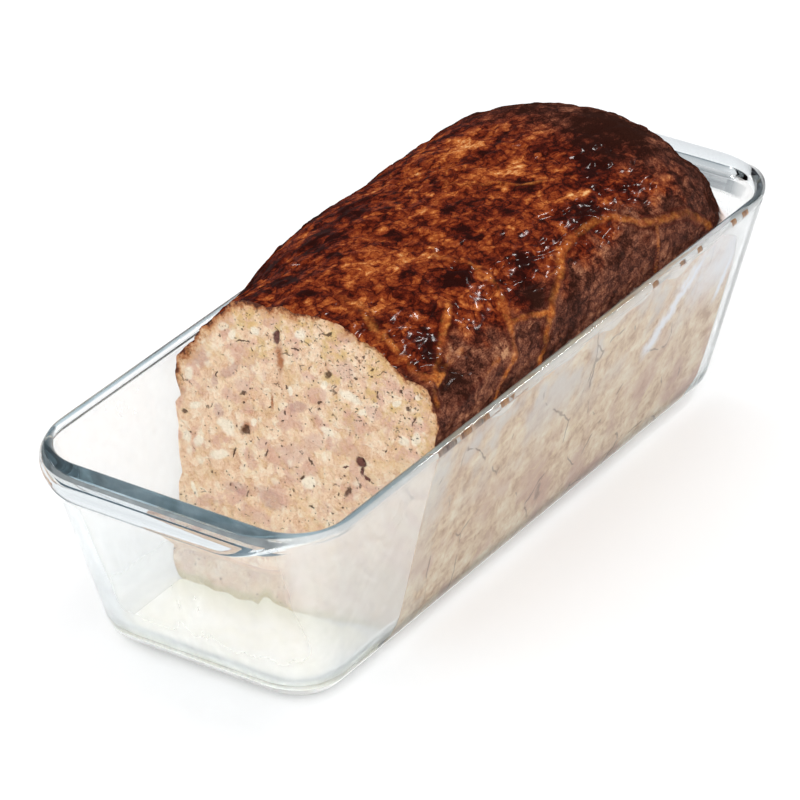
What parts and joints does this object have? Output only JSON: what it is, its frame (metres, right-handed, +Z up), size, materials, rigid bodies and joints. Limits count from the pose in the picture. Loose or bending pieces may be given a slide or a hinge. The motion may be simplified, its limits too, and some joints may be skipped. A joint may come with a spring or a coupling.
{
  "type": "country terrine in glass loaf dish",
  "caption": "Coarse country terrine with a dark baked crust, cut at one end, in its clear pressed-glass loaf dish with end handles.",
  "frame": {"origin": "centre of the dish's flat foot, on the surface that it stands on", "axes": "+Y along the dish, from the cut end of the loaf to its far end; +X across it; +Z up"},
  "size_m": [0.1104, 0.31, 0.1039],
  "materials": {
    "glass": "clear pressed glass, polished, with a film of fat inside",
    "meat": "baked meat: glossy dark brown crust, matt pink-beige cut face"
  },
  "bodies": {
    "root": {"dish": "glass", "terrine": "meat"}
  },
  "joints": []
}
